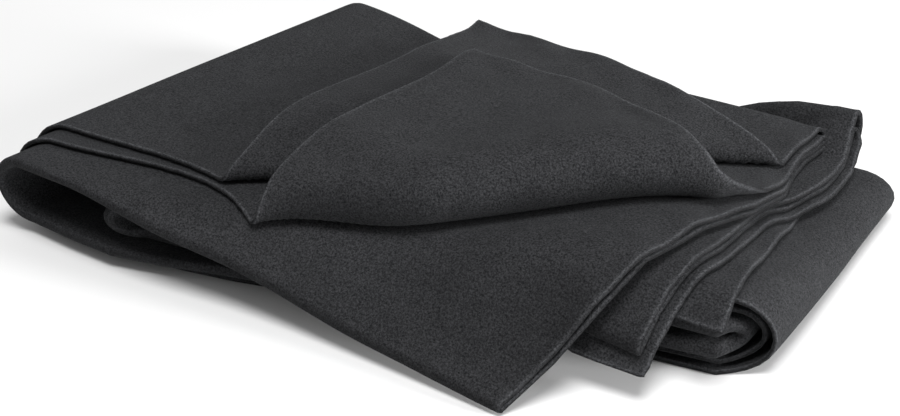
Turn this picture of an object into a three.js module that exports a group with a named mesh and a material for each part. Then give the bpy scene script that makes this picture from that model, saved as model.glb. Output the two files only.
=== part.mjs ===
// A welding drape: one sheet of felt, halved twice across and twice along into sixteen layers, lying on
// the floor. The front right corner of its two top layers is turned back over.
import * as THREE from "three";

// Millimetres, +Z up. The folded strip runs along X and the sheet was first halved across it, along Y.
// The origin lies on the floor under the middle of the folded drape.
const FELT = 2.6; // thickness of the cloth
const PITCH = 4.1; // from the middle of one layer to the middle of the next
const MIDDLE = { x: 20.8, y: -13.1 }; // of the folded drape, on the plan that the tables use

const table = (columns, ...rows) =>
  rows.map((row) => Object.fromEntries(columns.map((column, i) => [column, row[i]])));

// A place on the cloth is a pair, along and across, each from 0 to 7. Along the strip 0 to 1 is the top
// quarter from its free right end, 1 to 2 the big left turn, 2 to 3 the bottom quarter, 3 to 4 the right
// turn, 4 to 5 the third quarter, 5 to 6 the small left turn and 6 to 7 the second quarter. Across it
// 0 to 1 is the outermost layer from its cut edge, 1 to 2 the outer turn at the back, 2 to 3 and 4 to 5
// the two layers that the folded front edge joins at 3 to 4, 5 to 6 the inner turn at the back, and
// 6 to 7 the innermost layer, up to the other cut edge.
const LAST = 7;

// Y of the two cut edges, of the folded front edge and of the back, by the place along the strip. "wide"
// stretches the turns at the back.
const EDGES = table(
  ["place", "outerCut", "folded", "innerCut", "back", "wide"],
  [0.0, -212, -168, -261, 127, 1.3], // free right end of the top quarter
  [0.25, -179, -170, -227, 122, 1.3],
  [0.5, -170, -175, -183, 118, 1.3],
  [0.7, -146, -186, -150, 114, 1.3],
  [1.0, -152, -190, -166, 122, 1.3], // big left turn
  [2.0, -160, -184, -168, 122, 1.3],
  [2.2, -165, -181, -172, 126, 1.3],
  [2.3, -156, -165, -162, 129, 1.3], // the bottom quarter runs askew from here
  [2.43, -138, -147, -142, 134, 1.3],
  [3.0, -67, -70, -65, 150, 1.3], // right turn
  [4.0, -67, -70, -65, 150, 1.3],
  [5.0, -155, -165, -150, 118, 1.3], // small left turn
  [6.0, -155, -165, -150, 118, 1.35],
  [6.3, -127, -132, -123, 119, 1.55],
  [6.6, -104, -96, -110, 125, 1.95],
  [6.85, -91, -115, -122, 140, 2.4],
  [7.0, -86, -112, -116, 150, 2.7], // free right end of the second quarter
);

// X of the strip's ends and turns, by Y. The free ends of the top and the second quarter differ from the
// outermost layer to the folded pair and the innermost.
const ENDS = table(
  ["place", "topOuter", "topPair", "topInner", "secondOuter", "secondPair", "left", "right"],
  [-240, 217, 158, 235, 245, 209, -188, 232],
  [-175, 226, 158, 246, 245, 209, -186, 232],
  [-110, 215, 194, 230, 245, 209, -183, 232],
  [-50, 207, 205, 212, 235, 215, -181, 231],
  [40, 197, 209, 207, 217, 206, -177, 222],
  [90, 194, 197, 198, 207, 214, -175, 216],
  [170, 187, 198, 195, 204, 202, -172, 208],
);
const SMALL_LEFT_TURN = -105;
const INNER_LAYER_STANDS_OUT = 5; // of the second quarter's right end
const TURN_WIDTH = { left: 1, right: 1.8, small: 1.12 }; // against a round turn

// Height of the middle of each quarter and, about it, of each layer, counted in pitches. A quarter is
// 4 layers, and it turns upside down at each turn.
const QUARTERS = { top: 14, bottom: 2, third: 6, second: 10 };
const LAYERS = { outer: 1.5, lower: -1.5, upper: -0.5, inner: 0.5 };

// Height in pitches at which the second and the top quarter start, and of the whole stack.
const STARTS = { second: 8, top: 12 };
const STACK = 16;

// Y of the line where the second quarter and the top one reach past what holds them up, by X. In front
// of it they come down to the floor within their own length.
const SUPPORT = table(
  ["place", "second", "top"],
  [-260, -205, -215],
  [-190, -206, -205],
  [-150, -202, -191],
  [-104, -190, -172],
  [-60, -167, -154],
  [0, -146, -132],
  [80, -119, -110],
  [120, -102, -103],
  [160, -80, -94],
  [200, -69, -91],
  [240, -63, -89],
  [300, -60, -88],
);
const COMES_DOWN = { second: 70, top: 82 };

// The stack stands open over the right turn, at the front and at the back of the second quarter, and
// dips behind the middle.
const PUFF = { height: 20, topShare: 1.12, x: [40, 200], y: [-60, 80], swell: 1.2 };
const BACK_PUFF = { height: 26, x: [60, 160], y: [131, 152] };
const DIP = { depth: 13, x: -50, reach: 75, y: [30, 120], most: 1.1 };

// Corners turned back over. Each is rolled about the line through x, y at the angle: a tight turn of the
// radius, and an easy one that takes its last "ease" degrees, up to a height over the corner's own layer.
// Between its ends the line bows out to the front and the tight turn swells.
const FLAPS = table(
  ["across", "x", "y", "angle", "radius", "ease", "height", "bow", "swell"],
  [0, -66, -153, 40.7, 4, 25, 22.6, 0, 0],
  [6, -20, -158, 39.2, 7, 30, 36, 20, 8.5],
);
const BOW = { from: [-1, 109], to: [253, 299] }; // along the line, from x, y

// Mesh: the cells of each stretch of the cloth, and how far a flat face may stray from the cloth and
// slip along it.
const ALONG_CELLS = [6, 8, 3, 6, 4, 5, 4];
const ACROSS_CELLS = [4, 5, 3, 4, 3, 4, 4];
const STRAY = 0.6;
const SLIP = 2.5;
const ROUNDS = 6;

const { clamp, degToRad, lerp, smoothstep } = THREE.MathUtils;

// A smooth curve through one column of a table. The slope at a row is that of the parabola through it
// and its neighbours.
function curve(rows, column) {
  const steps = rows.slice(1).map((row, i) => row.place - rows[i].place);
  const rises = rows.slice(1).map((row, i) => (row[column] - rows[i][column]) / steps[i]);
  const slopes = rows.map((row, i) => {
    if (i === 0) return rises[0];
    if (i === rises.length) return rises[i - 1];
    return (steps[i - 1] * rises[i] + steps[i] * rises[i - 1]) / (steps[i - 1] + steps[i]);
  });
  return (place) => {
    const x = clamp(place, rows[0].place, rows.at(-1).place);
    const i = Math.max(0, rows.findLastIndex((row, k) => k < steps.length && row.place <= x));
    const t = (x - rows[i].place) / steps[i];
    const [a, b] = [rows[i][column], rows[i + 1][column]];
    const bend = (1 - t) * (slopes[i] - rises[i]) - t * (slopes[i + 1] - rises[i]);
    return lerp(a, b, t) + t * (1 - t) * steps[i] * bend;
  };
}

const curvesOf = (rows) => {
  const columns = Object.keys(rows[0]).slice(1);
  return Object.fromEntries(columns.map((column) => [column, curve(rows, column)]));
};
const edge = curvesOf(EDGES);
const end = curvesOf(ENDS);
const support = curvesOf(SUPPORT);

// Which panel a place is on or leaves, and how far it is round the turn that follows, from 0 to 1.
function stretchOf(place) {
  const stretch = Math.min(Math.floor(place), LAST - 1);
  return { panel: stretch >> 1, turning: stretch % 2 === 1, part: place - stretch };
}

const within = (value, [from, to]) => smoothstep(value, from, to);

// A section folded back and forth: panels at their levels run between the stops, and half turns join
// them outside the stops.
function foldedSection(place, stops, levels, widths) {
  const { panel, turning, part } = stretchOf(place);
  const [stop, level, next] = [stops[panel + 1], levels[panel], levels[panel + 1]];
  if (!turning) return { run: lerp(stops[panel], stop, part), height: level };
  const radius = Math.abs(next - level) / 2;
  const outward = Math.sign(stop - stops[panel]);
  return {
    run: stop + outward * widths[panel] * radius * Math.sin(Math.PI * part),
    height: (level + next) / 2 + ((level - next) / 2) * Math.cos(Math.PI * part),
  };
}

// A value that each layer has for itself, eased from one to the next round the turns.
function byLayer(across, values) {
  const { panel, turning, part } = stretchOf(across);
  return turning ? lerp(values[panel], values[panel + 1], smoothstep(part, 0, 1)) : values[panel];
}

// A sheet rolled back over a line: the way "past" the line as a run along the plan and a height.
function rollBack(past, { radius, ease, height }) {
  const last = degToRad(ease);
  const easy = (height - radius * (1 + Math.cos(last))) / (1 - Math.cos(last));
  const turn = radius * (Math.PI - last);
  const angle = clamp(past, 0, turn) / radius;
  const arc = clamp(past - turn, 0, easy * last) / easy;
  const flat = Math.max(0, past - turn - easy * last);
  return {
    run: radius * Math.sin(angle) - easy * (Math.sin(last) - Math.sin(last - arc)) - flat,
    rise: radius * (1 - Math.cos(angle)) + easy * (Math.cos(last - arc) - Math.cos(last)),
  };
}

function turnCornerBack(point, flap) {
  const angle = degToRad(flap.angle);
  const [dx, dy] = [point.x - flap.x, point.y - flap.y];
  const way = dx * Math.cos(angle) + dy * Math.sin(angle);
  const between = within(way, BOW.from) * (1 - within(way, BOW.to));
  const past = dx * Math.sin(angle) - dy * Math.cos(angle) - flap.bow * between;
  if (past <= 0) return point;
  const { run, rise } = rollBack(past, { ...flap, radius: flap.radius + flap.swell * between });
  return {
    x: point.x + (run - past) * Math.sin(angle),
    y: point.y - (run - past) * Math.cos(angle),
    z: point.z + rise,
  };
}

// The flat stack, before anything sags: heights count from the middle of the lowest layer's pitch.
function inStack(along, across) {
  const back = edge.back(along);
  const wide = edge.wide(along);
  const layer = foldedSection(
    across,
    [edge.outerCut(along), back, edge.folded(along), back, edge.innerCut(along)],
    Object.values(LAYERS).map((level) => level * PITCH),
    [wide, 1, wide],
  );
  const y = layer.run;
  const h = layer.height;
  const topPair = end.topPair(y);
  const secondPair = end.secondPair(y);
  const top = byLayer(across, [end.topOuter(y), topPair, topPair, end.topInner(y)]);
  const second = byLayer(
    across,
    [end.secondOuter(y), secondPair, secondPair, secondPair + INNER_LAYER_STANDS_OUT],
  );
  const strip = foldedSection(
    along,
    [top, end.left(y), end.right(y), SMALL_LEFT_TURN, second],
    [
      QUARTERS.top * PITCH + h,
      QUARTERS.bottom * PITCH - h,
      QUARTERS.third * PITCH + h,
      QUARTERS.second * PITCH - h,
    ],
    Object.values(TURN_WIDTH),
  );
  const point = { x: strip.run, y, z: strip.height };
  const flap = FLAPS.find((row) => Math.floor(Math.min(across, LAST - 0.5)) === row.across);
  return flap && along < 1 ? turnCornerBack(point, flap) : point;
}

const frontPuff = (x, y) => PUFF.height * within(x, PUFF.x) * (1 - within(y, PUFF.y));

// The heights on which the second quarter and the top one lie, as they sag to the floor in front.
const beds = {
  second: (x, y) =>
    (STARTS.second * PITCH + frontPuff(x, y))
    * smoothstep(y - support.second(x), -COMES_DOWN.second, 0),
  top: (x, y) =>
    (STARTS.top * PITCH + PUFF.topShare * frontPuff(x, y))
    * smoothstep(y - support.top(x), -COMES_DOWN.top, 0),
};

// How much more height a layer takes up on a slope than on the flat.
function upright(bed, x, y, step = 2) {
  const slopeX = (bed(x + step, y) - bed(x - step, y)) / (2 * step);
  const slopeY = (bed(x, y + step) - bed(x, y - step)) / (2 * step);
  return Math.hypot(1, slopeX, slopeY);
}

function sagged({ x, y, z }) {
  const lowest = PITCH / 2;
  const second = STARTS.second * PITCH;
  const top = STARTS.top * PITCH;
  let height;
  if (z < second) {
    const share = clamp((z - lowest) / (second - lowest), 0, 1);
    height = z + frontPuff(x, y) * share ** PUFF.swell;
  } else if (z < top) {
    const open = (BACK_PUFF.height * within(y, BACK_PUFF.y) * within(x, BACK_PUFF.x)) / (top - second);
    height = beds.second(x, y) + (z - second) * (upright(beds.second, x, y) + open);
  } else {
    height = beds.top(x, y) + (z - top) * upright(beds.top, x, y);
  }
  const share = clamp((z - lowest) / (STACK * PITCH), 0, DIP.most);
  const dip = DIP.depth * Math.exp(-(((x - DIP.x) / DIP.reach) ** 2)) * within(y, DIP.y) * share;
  return { x, y, z: height - dip - lowest + FELT / 2 };
}

// The middle of the cloth at a place on it.
function middleAt(along, across) {
  const { x, y, z } = sagged(inStack(along, across));
  return new THREE.Vector3(x - MIDDLE.x, y - MIDDLE.y, z);
}

function normalAt(along, across, step = 1e-3) {
  const low = (place) => Math.max(place - step, 0);
  const high = (place) => Math.min(place + step, LAST);
  const alongIt = middleAt(high(along), across).sub(middleAt(low(along), across));
  const acrossIt = middleAt(along, high(across)).sub(middleAt(along, low(across)));
  return alongIt.cross(acrossIt).normalize();
}

// A triangle mesh of the cloth's middle. It starts as the cells of each stretch, and each round halves
// the edges from which the cloth strays too far, in both triangles that share the edge.
function clothMesh() {
  const places = (cells) => [
    ...cells.flatMap((count, stretch) =>
      Array.from({ length: count }, (_, i) => stretch + i / count)),
    LAST,
  ];
  const alongs = places(ALONG_CELLS);
  const acrosses = places(ACROSS_CELLS);
  const points = [];
  const addPoint = (along, across) =>
    points.push({ along, across, at: middleAt(along, across) }) - 1;
  for (const along of alongs) for (const across of acrosses) addPoint(along, across);
  // How far the cloth strays from the straight line between two points, against what is allowed.
  const stray = (a, b) => {
    const [p, q] = [points[a], points[b]];
    const shares = [0.25, 0.5, 0.75].map((part) => {
      const along = lerp(p.along, q.along, part);
      const across = lerp(p.across, q.across, part);
      const offset = middleAt(along, across).sub(p.at.clone().lerp(q.at, part));
      const lift = Math.abs(offset.dot(normalAt(along, across)));
      return Math.max(lift / STRAY, offset.length() / SLIP);
    });
    return Math.max(...shares);
  };
  const wide = acrosses.length;
  let triangles = [];
  for (let i = 0; i + 1 < alongs.length; i++) {
    for (let j = 0; j + 1 < wide; j++) {
      const [a, d] = [i * wide + j, i * wide + j + 1];
      const [b, c] = [a + wide, d + wide];
      triangles.push(...(stray(a, c) < stray(b, d) ? [[a, b, c], [a, c, d]] : [[a, b, d], [b, c, d]]));
    }
  }
  for (let round = 0; round < ROUNDS; round++) {
    const halves = new Map();
    const halfOf = (a, b) => {
      const key = a < b ? `${a} ${b}` : `${b} ${a}`;
      if (!halves.has(key)) {
        const [p, q] = [points[a], points[b]];
        const half = stray(a, b) > 1
          ? addPoint((p.along + q.along) / 2, (p.across + q.across) / 2)
          : null;
        halves.set(key, half);
      }
      return halves.get(key);
    };
    triangles = triangles.flatMap((triangle) => halved(triangle, halfOf));
  }
  return { points, triangles, alongs, acrosses };
}

// A triangle cut through the points that halve its edges, none to three of them.
function halved([a, b, c], halfOf) {
  const [ab, bc, ca] = [halfOf(a, b), halfOf(b, c), halfOf(c, a)];
  const count = [ab, bc, ca].filter((half) => half !== null).length;
  if (count === 0) return [[a, b, c]];
  if (count === 3) return [[a, ab, ca], [ab, b, bc], [ca, bc, c], [ab, bc, ca]];
  if (ab === null) return halved([b, c, a], halfOf);
  if (count === 2 && bc === null) return halved([c, a, b], halfOf);
  if (count === 1) return [[a, ab, c], [ab, b, c]];
  return [[ab, b, bc], [a, ab, bc], [a, bc, c]];
}

// The cloth as a solid: the mesh moved half the felt's thickness to both sides, and a band round it.
function feltGeometry() {
  const { points, triangles } = clothMesh();
  const normals = points.map(({ along, across }) => normalAt(along, across));
  const side = (sign) =>
    points.map(({ at }, i) => at.clone().addScaledVector(normals[i], (sign * FELT) / 2));
  const vertices = [...side(1), ...side(-1)];
  const under = points.length;
  const faces = [...triangles, ...triangles.map(([a, b, c]) => [a + under, c + under, b + under])];
  const edges = new Set(triangles.flatMap(([a, b, c]) => [`${a} ${b}`, `${b} ${c}`, `${c} ${a}`]));
  for (const key of edges) {
    const [a, b] = key.split(" ").map(Number);
    if (!edges.has(`${b} ${a}`)) faces.push([b, a, a + under], [b, a + under, b + under]);
  }
  const geometry = new THREE.BufferGeometry().setFromPoints(vertices).setIndex(faces.flat());
  geometry.computeVertexNormals();
  return geometry;
}

const felt = new THREE.MeshStandardMaterial({ color: 0x17191b, roughness: 0.95, metalness: 0 });

const drape = new THREE.Mesh(feltGeometry(), felt);
drape.name = "drape";

const part = new THREE.Group();
part.add(drape);

export default part;
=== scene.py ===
"""A welding drape of thick dark felt, folded and laid on a pale floor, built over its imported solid."""

import math

import bpy
import numpy as np
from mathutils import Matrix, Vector


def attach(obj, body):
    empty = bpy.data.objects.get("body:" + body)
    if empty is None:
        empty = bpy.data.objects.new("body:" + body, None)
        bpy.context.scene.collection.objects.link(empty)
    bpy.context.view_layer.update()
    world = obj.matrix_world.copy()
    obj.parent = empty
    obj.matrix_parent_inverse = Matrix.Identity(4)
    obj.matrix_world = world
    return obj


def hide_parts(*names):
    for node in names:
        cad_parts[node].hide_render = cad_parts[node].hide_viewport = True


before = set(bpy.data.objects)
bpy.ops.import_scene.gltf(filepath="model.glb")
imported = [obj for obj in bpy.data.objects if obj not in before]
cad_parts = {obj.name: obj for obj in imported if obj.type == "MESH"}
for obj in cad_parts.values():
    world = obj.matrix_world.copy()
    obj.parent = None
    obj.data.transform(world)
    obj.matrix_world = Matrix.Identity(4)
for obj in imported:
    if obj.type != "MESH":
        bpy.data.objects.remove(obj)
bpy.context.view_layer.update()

# The tables are in millimetres, on the plan that the solid's source uses. The meshes are in metres, in
# the frame, whose origin lies under the middle of the folded drape.
MM = 0.001
FELT = 2.6
PITCH = 4.1
MIDDLE = (20.8, -13.1)
LAST = 7


def table(columns, *rows):
    """The columns of a table by name, each as an array."""
    return {name: np.array([row[i] for row in rows], float) for i, name in enumerate(columns.split())}


# A place on the cloth is a pair, along and across, each from 0 to 7. Along the strip 0 to 1 is the top
# quarter from its free right end, 1 to 2 the big left turn, 2 to 3 the bottom quarter, 3 to 4 the right
# turn, 4 to 5 the third quarter, 5 to 6 the small left turn and 6 to 7 the second quarter. Across it
# 0 to 1 is the outermost layer from its cut edge, 1 to 2 the outer turn at the back, 2 to 3 and 4 to 5
# the two layers that the folded front edge joins, 5 to 6 the inner turn and 6 to 7 the innermost layer.
EDGES = table(
    "place outer_cut folded inner_cut back wide",
    (0.0, -212, -168, -261, 127, 1.3),
    (0.25, -179, -170, -227, 122, 1.3),
    (0.5, -170, -175, -183, 118, 1.3),
    (0.7, -146, -186, -150, 114, 1.3),
    (1.0, -152, -190, -166, 122, 1.3),
    (2.0, -160, -184, -168, 122, 1.3),
    (2.2, -165, -181, -172, 126, 1.3),
    (2.3, -156, -165, -162, 129, 1.3),
    (2.43, -138, -147, -142, 134, 1.3),
    (3.0, -67, -70, -65, 150, 1.3),
    (4.0, -67, -70, -65, 150, 1.3),
    (5.0, -155, -165, -150, 118, 1.3),
    (6.0, -155, -165, -150, 118, 1.35),
    (6.3, -127, -132, -123, 119, 1.55),
    (6.6, -104, -96, -110, 125, 1.95),
    (6.85, -91, -115, -122, 140, 2.4),
    (7.0, -86, -112, -116, 150, 2.7),
)

# X of the strip's ends and turns, by Y.
ENDS = table(
    "place top_outer top_pair top_inner second_outer second_pair left right",
    (-240, 217, 158, 235, 245, 209, -188, 232),
    (-175, 226, 158, 246, 245, 209, -186, 232),
    (-110, 215, 194, 230, 245, 209, -183, 232),
    (-50, 207, 205, 212, 235, 215, -181, 231),
    (40, 197, 209, 207, 217, 206, -177, 222),
    (90, 194, 197, 198, 207, 214, -175, 216),
    (170, 187, 198, 195, 204, 202, -172, 208),
)
SMALL_LEFT_TURN = -105
INNER_LAYER_STANDS_OUT = 5
TURN_WIDTHS = (1, 1.8, 1.12)

# Soft waves of the free ends of the strip: height, length and how far in they reach, as a place along.
RUFFLE = {"height": 1.5, "length": 46, "second_length": 71, "reach": 0.09}

# Heights in pitches: the middle of the top, bottom, third and second quarter, each layer about it, where
# the second and the top quarter start, and the whole stack.
QUARTERS = (14, 2, 6, 10)
LAYERS = (1.5, -1.5, -0.5, 0.5)
SECOND_STARTS = 8
TOP_STARTS = 12
STACK = 16

# Y of the line in front of which the second quarter and the top one come down to the floor, by X.
SUPPORT = table(
    "place second top",
    (-260, -205, -215),
    (-190, -206, -205),
    (-150, -202, -191),
    (-104, -190, -172),
    (-60, -167, -154),
    (0, -146, -132),
    (80, -119, -110),
    (120, -102, -103),
    (160, -80, -94),
    (200, -69, -91),
    (240, -63, -89),
    (300, -60, -88),
)
SECOND_COMES_DOWN = 70
TOP_COMES_DOWN = 82

PUFF = {"height": 20, "top_share": 1.12, "x": (40, 200), "y": (-60, 80), "swell": 1.2}
BACK_PUFF = {"height": 26, "x": (60, 160), "y": (131, 152)}
DIP = {"depth": 13, "x": -50, "reach": 75, "y": (30, 120), "most": 1.1}

# Corners turned back over: the layer's place across, a point and the angle of the line, the radius of a
# tight turn, how many of its last degrees an easy turn takes, the height over the corner's own layer, how
# far the line bows out to the front between its ends, and how much the tight turn swells there.
FLAPS = table(
    "across x y angle radius ease height bow swell",
    (0, -66, -153, 40.7, 4, 25, 22.6, 0, 0),
    (6, -20, -158, 39.2, 7, 30, 36, 20, 8.5),
)
BOW_FROM = (-1, 109)
BOW_TO = (253, 299)

# Soft ridges and troughs over the whole stack: a point, the way it runs, how long and wide, how high.
CREASES = table(
    "x y angle length width height",
    (70, -120, 20, 80, 22, 1.6),
    (130, -150, 55, 60, 16, -1.2),
    (20, -150, -5, 60, 18, 1.2),
    (-110, 20, 75, 90, 26, -1.2),
    (-60, 90, 10, 60, 20, 1.0),
    (60, 0, 40, 110, 20, 1.4),
    (90, 60, 35, 80, 18, -1.5),
    (10, -50, 60, 60, 20, -1.0),
)


def smoothstep(value, low, high):
    t = np.clip((value - low) / (high - low), 0, 1)
    return t * t * (3 - 2 * t)


def lerp(a, b, t):
    return a + (b - a) * t


def curve(rows, column, place):
    """A smooth curve through one column of a table, with the slope of the parabola at each row."""
    xs, ys = rows["place"], rows[column]
    slopes = np.gradient(ys, xs)
    x = np.clip(place, xs[0], xs[-1])
    i = np.clip(np.searchsorted(xs, x, side="right") - 1, 0, len(xs) - 2)
    step = xs[i + 1] - xs[i]
    t = (x - xs[i]) / step
    rise = (ys[i + 1] - ys[i]) / step
    bend = (1 - t) * (slopes[i] - rise) - t * (slopes[i + 1] - rise)
    return lerp(ys[i], ys[i + 1], t) + t * (1 - t) * step * bend


def stretch_of(place):
    """The panel that a place is on or leaves, whether it is on a turn, and how far along it is."""
    stretch = np.minimum(np.floor(place), LAST - 1).astype(int)
    return stretch // 2, stretch % 2 == 1, place - stretch


def pick(values, index):
    """One of several arrays at each point."""
    stacked = np.stack(np.broadcast_arrays(*values))
    return np.take_along_axis(stacked, np.clip(index, 0, len(stacked) - 1)[None], 0)[0]


def folded_section(place, stops, levels, widths):
    """Panels at their levels between the stops, joined by half turns outside the stops."""
    panel, turning, part = stretch_of(place)
    stops = np.broadcast_arrays(place, *stops)[1:]
    levels = np.broadcast_arrays(place, *levels)[1:]
    start, stop = pick(stops, panel), pick(stops, panel + 1)
    level, after = pick(levels, panel), pick(levels, panel + 1)
    wide = pick(np.broadcast_arrays(place, *widths)[1:], panel)
    bulge = np.sign(stop - start) * wide * np.abs(after - level) / 2
    run = np.where(turning, stop + bulge * np.sin(np.pi * part), lerp(start, stop, part))
    round_turn = (level + after) / 2 + (level - after) / 2 * np.cos(np.pi * part)
    return run, np.where(turning, round_turn, level)


def by_layer(across, values):
    """A value that each layer has for itself, eased from one to the next round the turns."""
    panel, turning, part = stretch_of(across)
    values = np.broadcast_arrays(across, *values)[1:]
    share = np.where(turning, smoothstep(part, 0, 1), 0)
    return lerp(pick(values, panel), pick(values, panel + 1), share)


def rows_of(rows):
    """The rows of a table, each by the names of its columns."""
    return [dict(zip(rows, row)) for row in zip(*rows.values())]


def roll_back(past, tight, ease, height):
    """A sheet rolled back over a line: its run along the plan and its rise, by the way past the line."""
    easy = (height - tight * (1 + math.cos(ease))) / (1 - math.cos(ease))
    turn = tight * (math.pi - ease)
    angle = np.clip(past, 0, turn) / tight
    arc = np.clip(past - turn, 0, easy * ease) / easy
    flat = np.maximum(0, past - turn - easy * ease)
    run = tight * np.sin(angle) - easy * (math.sin(ease) - np.sin(ease - arc)) - flat
    rise = tight * (1 - np.cos(angle)) + easy * (np.cos(ease - arc) - math.cos(ease))
    return run, rise


def turn_corner_back(x, y, z, flap):
    angle = math.radians(flap["angle"])
    dx, dy = x - flap["x"], y - flap["y"]
    way = dx * math.cos(angle) + dy * math.sin(angle)
    between = smoothstep(way, *BOW_FROM) * (1 - smoothstep(way, *BOW_TO))
    past = dx * math.sin(angle) - dy * math.cos(angle) - flap["bow"] * between
    tight = flap["radius"] + flap["swell"] * between
    run, rise = roll_back(past, tight, math.radians(flap["ease"]), flap["height"])
    moved = past > 0
    x = np.where(moved, x + (run - past) * math.sin(angle), x)
    y = np.where(moved, y - (run - past) * math.cos(angle), y)
    return x, y, np.where(moved, z + rise, z)


def in_stack(along, across):
    """The flat stack, before anything sags."""
    edge = {name: curve(EDGES, name, along) for name in EDGES}
    y, h = folded_section(
        across,
        (edge["outer_cut"], edge["back"], edge["folded"], edge["back"], edge["inner_cut"]),
        [level * PITCH for level in LAYERS],
        (edge["wide"], 1, edge["wide"]),
    )
    end = {name: curve(ENDS, name, y) for name in ENDS}
    top = by_layer(across, (end["top_outer"], end["top_pair"], end["top_pair"], end["top_inner"]))
    pair = end["second_pair"]
    second = by_layer(across, (end["second_outer"], pair, pair, pair + INNER_LAYER_STANDS_OUT))
    heights = [level * PITCH + sign * h for level, sign in zip(QUARTERS, (1, -1, 1, -1))]
    stops = (top, end["left"], end["right"], SMALL_LEFT_TURN, second)
    x, z = folded_section(along, stops, heights, TURN_WIDTHS)
    for flap in rows_of(FLAPS):
        here = (along < 1) & (np.minimum(np.floor(across), LAST - 1) == flap["across"])
        turned = turn_corner_back(x, y, z, flap)
        x, y, z = (np.where(here, new, old) for new, old in zip(turned, (x, y, z)))
    return x, y, z


def front_puff(x, y):
    return PUFF["height"] * smoothstep(x, *PUFF["x"]) * (1 - smoothstep(y, *PUFF["y"]))


def second_bed(x, y):
    """The height on which the second quarter lies, as it sags to the floor in front."""
    held = smoothstep(y - curve(SUPPORT, "second", x), -SECOND_COMES_DOWN, 0)
    return (SECOND_STARTS * PITCH + front_puff(x, y)) * held


def top_bed(x, y):
    held = smoothstep(y - curve(SUPPORT, "top", x), -TOP_COMES_DOWN, 0)
    return (TOP_STARTS * PITCH + PUFF["top_share"] * front_puff(x, y)) * held


def upright(bed, x, y, step=2):
    """How much more height a layer takes up on a slope than on the flat."""
    slope_x = (bed(x + step, y) - bed(x - step, y)) / (2 * step)
    slope_y = (bed(x, y + step) - bed(x, y - step)) / (2 * step)
    return np.sqrt(1 + slope_x ** 2 + slope_y ** 2)


def creased(x, y):
    """The soft ridges and troughs, as a height."""
    height = np.zeros_like(x)
    for row in rows_of(CREASES):
        angle = math.radians(row["angle"])
        dx, dy = x - row["x"], y - row["y"]
        run = dx * math.cos(angle) + dy * math.sin(angle)
        off = dy * math.cos(angle) - dx * math.sin(angle)
        height += row["height"] * np.exp(-(run / row["length"]) ** 2 - (off / row["width"]) ** 2)
    return height


def ruffled(x, y, along):
    """The soft waves of the free ends, as a height."""
    from_end = np.minimum(along, LAST - along)
    wave = np.sin(2 * np.pi * (x + y) / RUFFLE["length"]) + np.sin(2 * np.pi * y / RUFFLE["second_length"])
    return RUFFLE["height"] / 2 * wave * (1 - smoothstep(from_end, 0, RUFFLE["reach"]))


def sagged(x, y, z):
    lowest, second, top = PITCH / 2, SECOND_STARTS * PITCH, TOP_STARTS * PITCH
    share = np.clip((z - lowest) / (second - lowest), 0, 1)
    low = z + front_puff(x, y) * share ** PUFF["swell"]
    open_back = BACK_PUFF["height"] * smoothstep(y, *BACK_PUFF["y"]) * smoothstep(x, *BACK_PUFF["x"])
    steep = upright(second_bed, x, y) + open_back / (top - second)
    middle = second_bed(x, y) + (z - second) * steep
    high = top_bed(x, y) + (z - top) * upright(top_bed, x, y)
    height = np.where(z < second, low, np.where(z < top, middle, high))
    share = np.clip((z - lowest) / (STACK * PITCH), 0, DIP["most"])
    dip = DIP["depth"] * np.exp(-((x - DIP["x"]) / DIP["reach"]) ** 2) * smoothstep(y, *DIP["y"])
    return height + (creased(x, y) - dip) * share - lowest + FELT / 2


def middle_at(along, across):
    """The middle of the cloth at places on it, in metres."""
    x, y, z = in_stack(along, across)
    z = sagged(x, y, z)
    z = z + np.where(z > STACK * PITCH / 2, ruffled(x, y, along), 0)
    return np.stack([x - MIDDLE[0], y - MIDDLE[1], z], -1) * MM


def normal_at(along, across, step=1e-3):
    def change(function):
        return function(step) - function(-step)
    inside = lambda place: np.clip(place, 0, LAST)
    along_it = change(lambda d: middle_at(inside(along + d), across))
    across_it = change(lambda d: middle_at(along, inside(across + d)))
    normal = np.cross(along_it, across_it)
    return normal / np.linalg.norm(normal, axis=-1, keepdims=True)


# The mesh: cells on each stretch of the cloth, most where it shows.
ALONG_CELLS = (130, 16, 12, 12, 12, 12, 24)
ACROSS_CELLS = (60, 10, 12, 10, 34, 8, 80)
RIM_STEPS = 4

# Rows close to the cut edges, as places in from them, which part the rim's painted highlight from the
# faces'.
EDGE_ROWS = (0.0035, 0.009)

# How pale or dark the felt is painted against its own colour: round the cut edge from one face to the
# other, and at the rows from the cut edge into a face. The pale rims and the paler rows next to them are a
# painted highlight; the cut face between them is darker.
RIM_TONE_AND_PAINTED_HIGHLIGHT = (2.1, 0.9, 0.4, 0.9, 2.1)
FACE_PAINTED_HIGHLIGHT = (2.1, 1.2, 1.0)

# Painted shade: the felt is painted darker, up to a share, where it faces this way, to the front and a
# little down: none at the lower cosine, all at the higher.
PAINTED_SHADE_SIDE = (-0.5, -0.87, -0.1)
PAINTED_SHADE_FROM, PAINTED_SHADE_TO = 0.35, 0.9
PAINTED_SHADE_SHARE = 0.5

# How far the cut edge strays in and out.
RAGGED = 0.35
RAGGED_SEED = 4


def places(cells):
    starts = [stretch + np.arange(count) / count for stretch, count in enumerate(cells)]
    rows = np.array(EDGE_ROWS)
    return np.sort(np.concatenate([*starts, [LAST], rows, LAST - rows]))


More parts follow.
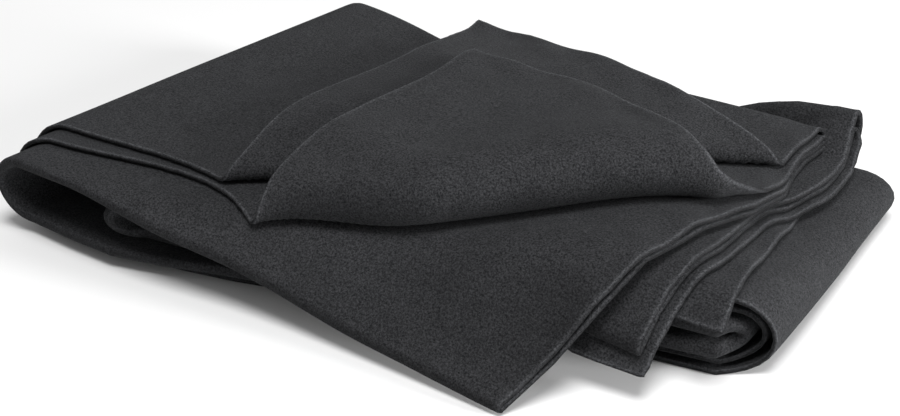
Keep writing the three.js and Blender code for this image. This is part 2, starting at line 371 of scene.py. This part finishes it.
def cloth_mesh(name):
    """The felt as one closed mesh: both faces, and a round, slightly ragged rim along the cut edges."""
    along, across = np.meshgrid(places(ALONG_CELLS), places(ACROSS_CELLS), indexing="ij")
    middle = middle_at(along, across)
    normal = normal_at(along, across)
    rows, columns = along.shape
    index = np.arange(rows * columns).reshape(rows, columns)
    quads = np.stack([index[:-1, :-1], index[1:, :-1], index[1:, 1:], index[:-1, 1:]], -1)
    quads = quads.reshape(-1, 4)
    under = rows * columns
    half = FELT / 2 * MM
    from_edge = np.minimum(np.minimum(along, LAST - along), np.minimum(across, LAST - across))
    # Painted highlight: the faces are painted paler towards the cut edges.
    tone_and_painted_light = np.interp(from_edge, (0, *EDGE_ROWS), FACE_PAINTED_HIGHLIGHT)
    tones_and_painted_light = []
    # Painted shade: each face is painted darker where it turns to the front and a little down.
    for side in (normal, -normal):
        painted_shade_mask = smoothstep(side @ np.array(PAINTED_SHADE_SIDE), PAINTED_SHADE_FROM, PAINTED_SHADE_TO)
        tones_and_painted_light.append((tone_and_painted_light * (1 - PAINTED_SHADE_SHARE * painted_shade_mask)).ravel())
    rng = np.random.default_rng(RAGGED_SEED)
    points = [(middle + sign * normal * half).reshape(-1, 3) for sign in (1, -1)]
    faces = [quads, quads[:, ::-1] + under]
    rim = np.concatenate([index[:, 0], index[-1, 1:], index[-2::-1, -1], index[0, -2:0:-1]])
    centre, up = middle.reshape(-1, 3)[rim], normal.reshape(-1, 3)[rim]
    way = np.roll(centre, -1, 0) - np.roll(centre, 1, 0)
    outward = np.cross(way, up)
    outward /= np.linalg.norm(outward, axis=-1, keepdims=True)
    ragged = rng.uniform(-1, 1, (len(rim), 1)) * RAGGED * MM
    rings = [rim]
    for step in range(1, RIM_STEPS):
        turn = math.pi * step / RIM_STEPS
        rings.append(2 * under + (step - 1) * len(rim) + np.arange(len(rim)))
        out = (half + ragged) * math.sin(turn)
        points.append(centre + up * half * math.cos(turn) + outward * out)
        # Painted highlight on the rim next to each face; the cut face between is painted darker.
        tones_and_painted_light.append(np.full(len(rim), RIM_TONE_AND_PAINTED_HIGHLIGHT[step]))
    rings.append(rim + under)
    for upper, lower in zip(rings, rings[1:]):
        faces.append(np.stack([upper, lower, np.roll(lower, -1), np.roll(upper, -1)], -1))
    mesh = bpy.data.meshes.new(name)
    mesh.from_pydata(np.concatenate(points).tolist(), [], np.concatenate(faces).tolist())
    mesh.polygons.foreach_set("use_smooth", [True] * len(mesh.polygons))
    # The painted highlight and painted shade go with the mesh as an attribute.
    mesh.attributes.new("tone_and_painted_light", "FLOAT", "POINT").data.foreach_set("value", np.concatenate(tones_and_painted_light))
    mesh.validate()
    mesh.update()
    obj = bpy.data.objects.new(name, mesh)
    bpy.context.collection.objects.link(obj)
    return obj


def shader(name):
    material = bpy.data.materials.new(name)
    material.use_nodes = True
    return material, material.node_tree, material.node_tree.nodes["Principled BSDF"]


def felt_material():
    """Dark needled felt: mottled charcoal and a fine lumpy nap, its colour scaled by the mesh's painted
    highlight along the cut edges and painted shade on faces turned to the front.
    """
    material, tree, bsdf = shader("felt")
    nodes, links = tree.nodes, tree.links
    place = nodes.new("ShaderNodeTexCoord").outputs["Object"]

    def noise(per_metre, detail, roughness=0.6):
        node = nodes.new("ShaderNodeTexNoise")
        node.inputs["Scale"].default_value = per_metre
        node.inputs["Detail"].default_value = detail
        node.inputs["Roughness"].default_value = roughness
        links.new(place, node.inputs["Vector"])
        return node.outputs["Fac"]

    def ramp(fac, *stops):
        node = nodes.new("ShaderNodeValToRGB")
        links.new(fac, node.inputs["Fac"])
        elements = node.color_ramp.elements
        for element, (position, color) in zip(elements, stops):
            element.position = position
            element.color = (*color, 1)
        return node.outputs["Color"]

    def mix(kind, fac, a, b):
        node = nodes.new("ShaderNodeMix")
        node.data_type = "RGBA"
        node.blend_type = kind
        node.inputs["Factor"].default_value = fac
        links.new(a, node.inputs[6])
        links.new(b, node.inputs[7])
        return node.outputs[2]

    nap = noise(900, 5, 0.8)
    mottle = noise(55, 3)
    color = ramp(nap, (0.38, (0.006, 0.0063, 0.007)), (0.65, (0.060, 0.061, 0.065)))
    cloud = ramp(mottle, (0.3, (0.82, 0.82, 0.82)), (0.7, (1.0, 1.0, 1.0)))
    color = mix("MULTIPLY", 1.0, color, cloud)
    # The mesh's painted highlight and painted shade scale the felt's colour.
    tone_and_painted_light = nodes.new("ShaderNodeAttribute")
    tone_and_painted_light.attribute_name = "tone_and_painted_light"
    shaded = nodes.new("ShaderNodeVectorMath")
    shaded.operation = "SCALE"
    links.new(color, shaded.inputs[0])
    links.new(tone_and_painted_light.outputs["Fac"], shaded.inputs["Scale"])
    links.new(shaded.outputs["Vector"], bsdf.inputs["Base Color"])
    bsdf.inputs["Roughness"].default_value = 0.92
    bsdf.inputs["Specular IOR Level"].default_value = 0.12
    bsdf.inputs["Sheen Weight"].default_value = 0.03
    bsdf.inputs["Sheen Roughness"].default_value = 0.45
    bsdf.inputs["Sheen Tint"].default_value = (0.75, 0.78, 0.82, 1)

    lumps = nodes.new("ShaderNodeBump")
    lumps.inputs["Strength"].default_value = 0.9
    lumps.inputs["Distance"].default_value = 0.0010
    links.new(noise(560, 4, 0.75), lumps.inputs["Height"])
    fine = nodes.new("ShaderNodeBump")
    fine.inputs["Strength"].default_value = 0.5
    fine.inputs["Distance"].default_value = 0.00015
    links.new(noise(2200, 2), fine.inputs["Height"])
    links.new(lumps.outputs["Normal"], fine.inputs["Normal"])
    links.new(fine.outputs["Normal"], bsdf.inputs["Normal"])
    return material


def drape():
    cloth = cloth_mesh("felt_drape")
    cloth.data.materials.append(felt_material())
    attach(cloth, "root")
    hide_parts("drape")
    return cloth


def floor():
    size = 6
    corners = [(-size, -size, 0), (size, -size, 0), (size, size, 0), (-size, size, 0)]
    mesh = bpy.data.meshes.new("floor")
    mesh.from_pydata(corners, [], [(0, 1, 2, 3)])
    obj = bpy.data.objects.new("floor", mesh)
    bpy.context.collection.objects.link(obj)
    material, _, bsdf = shader("floor")
    bsdf.inputs["Base Color"].default_value = (0.9, 0.9, 0.9, 1)
    bsdf.inputs["Roughness"].default_value = 0.8
    mesh.materials.append(material)
    return obj


# The camera of the photo: its turn from the strip, its height over the floor's plane, its lens in
# pixels of the picture's width, and the point of the plan that lies in the middle of the picture.
PICTURE_WIDTH = 900
LENS_PIXELS = 1600
TURN = math.radians(37)
ELEVATION = math.radians(28)
DISTANCE = 1.04
SENSOR = 36
AIM = Vector((-MIDDLE[0], -MIDDLE[1], 0)) * MM


def from_view(right, forward, up):
    """A direction given as seen by the camera, with forward along the floor, in the frame."""
    x = right * math.cos(TURN) - forward * math.sin(TURN)
    y = right * math.sin(TURN) + forward * math.cos(TURN)
    return Vector((x, y, up))


def aimed(obj, at, target):
    obj.location = at
    obj.rotation_mode = "QUATERNION"
    obj.rotation_quaternion = (target - at).to_track_quat("-Z", "Y")


def camera():
    data = bpy.data.cameras.new("camera")
    data.sensor_width = SENSOR
    data.lens = SENSOR * LENS_PIXELS / PICTURE_WIDTH
    obj = bpy.data.objects.new("camera", data)
    bpy.context.collection.objects.link(obj)
    back = from_view(0, -math.cos(ELEVATION), math.sin(ELEVATION))
    aimed(obj, AIM + back * DISTANCE, AIM)
    bpy.context.scene.camera = obj


def light(name, place, size, power):
    data = bpy.data.lights.new(name, "AREA")
    data.shape = "DISK"
    data.size = size
    data.energy = power
    obj = bpy.data.objects.new(name, data)
    bpy.context.collection.objects.link(obj)
    aimed(obj, from_view(*place), Vector((0, 0, 0.04)))


def studio():
    scene = bpy.context.scene
    scene.view_settings.view_transform = "Standard"
    world = bpy.data.worlds.new("studio")
    world.use_nodes = True
    background = world.node_tree.nodes["Background"]
    background.inputs["Color"].default_value = (1, 1, 1, 1)
    background.inputs["Strength"].default_value = 0.36
    scene.world = world
    light("top", (0.1, -0.9, 2.3), 1.1, 48)
    light("side", (2.6, -1.0, 0.8), 1.0, 84)


camera()
studio()
floor()
drape()
